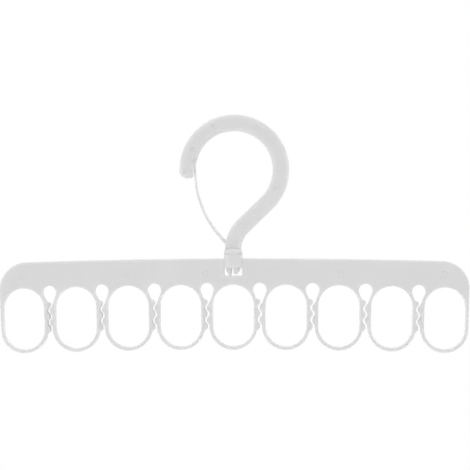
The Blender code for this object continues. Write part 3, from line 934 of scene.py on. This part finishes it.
def mouldedPolypropylene(name, piece):
    # Injection-moulded polypropylene: milky white, satin, with a fine sparked grain and a faint flow mottle
    shift = piece["patternShift"]
    low, high = polypropylene["mottleRange"]
    smooth, rough = polypropylene["roughness"]
    material = bpy.data.materials.new(name)
    material.use_nodes = True
    tree = material.node_tree
    tree.nodes.clear()
    place = addNode(tree, "ShaderNodeTexCoord").outputs["Object"]
    shifted = addNode(
        tree, "ShaderNodeMapping", {"Location": (shift, shift / 3, -shift)}, {"Vector": place}
    ).outputs["Vector"]
    flow = addNode(
        tree, "ShaderNodeTexNoise",
        {
            "Scale": 1 / mm(polypropylene["mottle"]), "Detail": 3,
            "Roughness": polypropylene["mottleRoughness"],
        },
        {"Vector": shifted},
    ).outputs["Fac"]
    colour = addNode(tree, "ShaderNodeValToRGB", {}, {"Fac": flow})
    colour.color_ramp.elements[0].position = low
    colour.color_ramp.elements[0].color = linear(polypropylene["shade"])
    colour.color_ramp.elements[1].position = high
    colour.color_ramp.elements[1].color = linear(polypropylene["base"])
    roughness = addNode(
        tree, "ShaderNodeMapRange", {"From Min": low, "From Max": high, "To Min": smooth, "To Max": rough},
        {"Value": flow},
    ).outputs["Result"]
    grain = addNode(
        tree, "ShaderNodeTexNoise",
        {"Scale": 1 / mm(polypropylene["grain"]), "Detail": 2}, {"Vector": shifted},
    ).outputs["Fac"]
    bump = addNode(
        tree, "ShaderNodeBump",
        {"Strength": polypropylene["grainStrength"], "Distance": mm(polypropylene["grainDepth"])},
        {"Height": grain},
    ).outputs["Normal"]
    shader = addNode(
        tree, "ShaderNodeBsdfPrincipled",
        {
            "IOR": polypropylene["ior"], "Subsurface Weight": polypropylene["milkiness"],
            "Subsurface Radius": (1, 1, 1), "Subsurface Scale": mm(piece["scatter"]),
        },
        {"Base Color": colour.outputs["Color"], "Roughness": roughness, "Normal": bump},
    )
    addNode(tree, "ShaderNodeOutputMaterial", {}, {"Surface": shader.outputs["BSDF"]})
    return material


def dress(piece, material):
    piece.data.materials.clear()
    piece.data.materials.append(material)


floorColours = {
    "paint": "#F6F6F6",
    "paintRoughness": 0.5,
    "seen": "#FFFFFF",
    "seenShare": 0.92,  # the rest is the lit paint, with the object's shadow
}


def floorPaint():
    # Matt white studio floor: lit softly, and brightened for the camera, so it keeps the shadow
    material = bpy.data.materials.new("mattWhiteFloorPaint")
    material.use_nodes = True
    tree = material.node_tree
    tree.nodes.clear()
    path = addNode(tree, "ShaderNodeLightPath")
    matt = addNode(
        tree, "ShaderNodeBsdfDiffuse",
        {"Color": linear(floorColours["paint"]), "Roughness": floorColours["paintRoughness"]},
    )
    glow = addNode(tree, "ShaderNodeEmission", {"Color": linear(floorColours["seen"]), "Strength": 1.0})
    share = addNode(tree, "ShaderNodeMath", {"operation": "MULTIPLY"}, {0: path.outputs["Is Camera Ray"]})
    share.inputs[1].default_value = floorColours["seenShare"]
    both = addNode(
        tree, "ShaderNodeMixShader", {}, {0: share.outputs[0], 1: matt.outputs[0], 2: glow.outputs[0]}
    )
    addNode(tree, "ShaderNodeOutputMaterial", {}, {"Surface": both.outputs[0]})
    return material


# Studio, in metres: light from white walls all round, one softbox, a floor and the camera

studio = {
    "frontLight": 0.77,  # from behind the camera, dimmer than the white walls at the sides
    "frontRange": (-0.6, 0.0),  # how far back a direction points, where it fades into the walls
    "wallLight": 1.36,
    "backRange": (0.1, 0.5),  # the same, where the walls fade into the back
    "backLight": 1.15,
    "white": "#FFFFFF",
    "keyPlace": (-1.45, -1.35, 0.55),
    "keyTarget": (0, 0, -0.1),
    "keySize": 1.0,
    "keyPower": 2,
    "floor": -0.40,
    "floorSize": 8,
    "target": (0.00166, 0, -0.0952),
    "cameraPlace": (0.0751, -1.626, -0.095),
    "roll": math.radians(-0.217),
    "lens": 136.27,
    "sensor": 36,
    "farthest": 50,  # that the camera sees
}


def makeWorld():
    # White to the camera and in reflections, and the level of each side of the studio for what it lights
    world = bpy.data.worlds.new("studioWorld")
    bpy.context.scene.world = world
    world.use_nodes = True
    tree = world.node_tree
    tree.nodes.clear()
    path = addNode(tree, "ShaderNodeLightPath")
    first = addNode(
        tree, "ShaderNodeMath", {"operation": "MAXIMUM"},
        {0: path.outputs["Is Camera Ray"], 1: path.outputs["Is Glossy Ray"]},
    )
    seen = addNode(
        tree, "ShaderNodeMath", {"operation": "MAXIMUM"},
        {0: first.outputs[0], 1: path.outputs["Is Transmission Ray"]},
    )
    way = addNode(tree, "ShaderNodeTexCoord").outputs["Generated"]
    depth = addNode(tree, "ShaderNodeSeparateXYZ", {}, {"Vector": way}).outputs["Y"]
    levels = []
    for reach, near, far in (
        (studio["frontRange"], studio["frontLight"], studio["wallLight"]),
        (studio["backRange"], studio["wallLight"], studio["backLight"]),
    ):
        settings = {"From Min": reach[0], "From Max": reach[1], "To Min": near, "To Max": far}
        levels.append(addNode(tree, "ShaderNodeMapRange", settings, {"Value": depth}).outputs["Result"])
    level = addNode(tree, "ShaderNodeMath", {"operation": "MINIMUM"}, dict(enumerate(levels))).outputs[0]
    colour = linear(studio["white"])
    soft = addNode(tree, "ShaderNodeBackground", {"Color": colour}, {"Strength": level})
    white = addNode(tree, "ShaderNodeBackground", {"Color": colour, "Strength": 1.0})
    both = addNode(
        tree, "ShaderNodeMixShader", {}, {0: seen.outputs[0], 1: soft.outputs[0], 2: white.outputs[0]}
    )
    addNode(tree, "ShaderNodeOutputWorld", {}, {"Surface": both.outputs[0]})


def addSoftbox():
    place = studio["keyPlace"]
    deselect()
    bpy.ops.object.light_add(type="AREA", location=place)
    lamp = bpy.context.object
    lamp.name = "keySoftbox"
    lamp.data.shape = "SQUARE"
    lamp.data.size = studio["keySize"]
    lamp.data.energy = studio["keyPower"]
    lamp.rotation_euler = (Vector(studio["keyTarget"]) - Vector(place)).to_track_quat("-Z", "Y").to_euler()


def addFloor():
    deselect()
    bpy.ops.mesh.primitive_plane_add(size=studio["floorSize"], location=(0, 0, studio["floor"]))
    floor = bpy.context.object
    floor.name = "studioFloor"
    bpy.ops.object.transform_apply(location=True)
    floor.data.materials.append(floorPaint())


def addCamera():
    deselect()
    bpy.ops.object.camera_add(location=studio["cameraPlace"])
    camera = bpy.context.object
    camera.name = "productCamera"
    aim = Vector(studio["target"]) - Vector(studio["cameraPlace"])
    turn = aim.to_track_quat("-Z", "Y") @ Quaternion((0, 0, 1), studio["roll"])
    camera.rotation_euler = turn.to_euler()
    camera.data.lens = studio["lens"]
    camera.data.sensor_width = studio["sensor"]
    camera.data.clip_end = studio["farthest"]
    bpy.context.scene.camera = camera


print("frame moulding")
hangerFrame = makeFrame()
dress(hangerFrame, mouldedPolypropylene("polypropyleneFrameMoulded", plate))

print("swivel hook")
swivelHook = makeHook()
dress(swivelHook, mouldedPolypropylene("polypropyleneHookMoulded", hook))

print("gate strap")
gateStrap = makeStrap()
dress(gateStrap, mouldedPolypropylene("polypropyleneGateMoulded", strap))

print("bodies and slots")
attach(hangerFrame, "frame")
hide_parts("top_beam", *[f"loop_{n}" for n in range(1, arch["loops"] + 1)])
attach(swivelHook, "hook")
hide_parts("swivel_hook")
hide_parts("gate_strap")
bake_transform(gateStrap)

print("studio")
scene = bpy.context.scene
scene.view_settings.view_transform = "Standard"
makeWorld()
addSoftbox()
addFloor()
addCamera()

bpy.context.view_layer.update()
